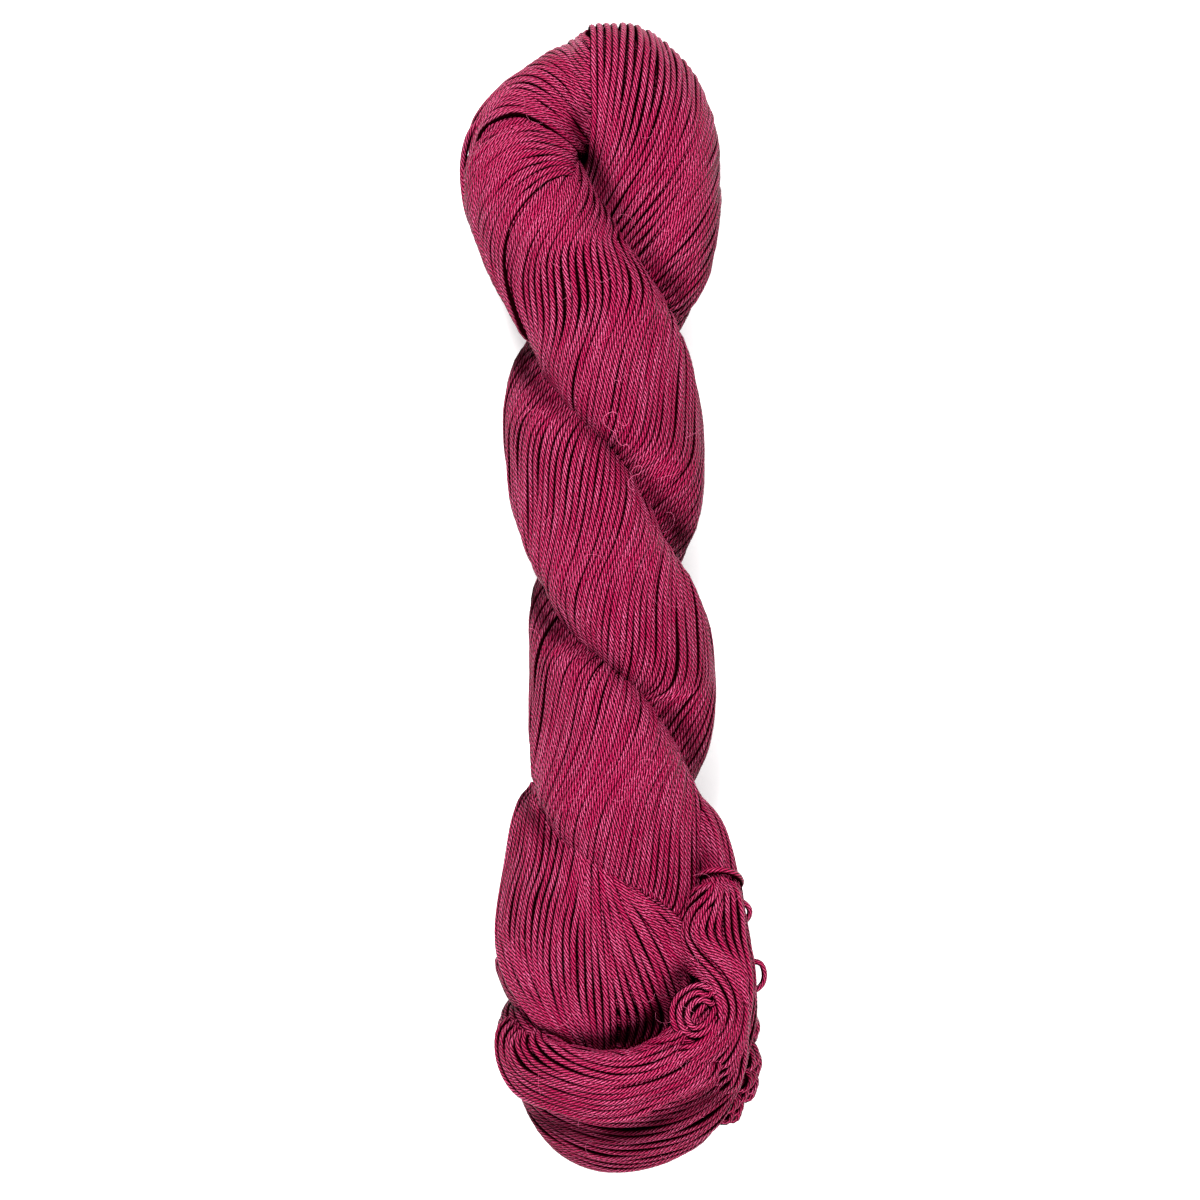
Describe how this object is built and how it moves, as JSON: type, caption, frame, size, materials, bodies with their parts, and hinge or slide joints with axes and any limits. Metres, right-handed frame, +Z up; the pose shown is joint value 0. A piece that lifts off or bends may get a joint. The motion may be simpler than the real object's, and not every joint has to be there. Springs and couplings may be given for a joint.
{
  "type": "hank of cotton yarn",
  "caption": "Twisted hank of plied cotton yarn, folded on itself and locked by tucking its end through the opened eye, with a yarn tie round its narrow limb.",
  "frame": {"origin": "centre of the bounding box, at its underside, which is the surface the hank lies on", "axes": "+Y along the hank towards its fold, +Z up from the surface it lies on, +X to the side of the tie"},
  "size_m": [0.0748, 0.2862, 0.0476],
  "materials": {
    "yarn": "plied cotton strands with a soft sheen, dyed raspberry",
    "tie_yarn": "one strand of the same plied cotton yarn"
  },
  "bodies": {
    "root": {"hank": "yarn", "tie": "tie_yarn"}
  },
  "joints": []
}
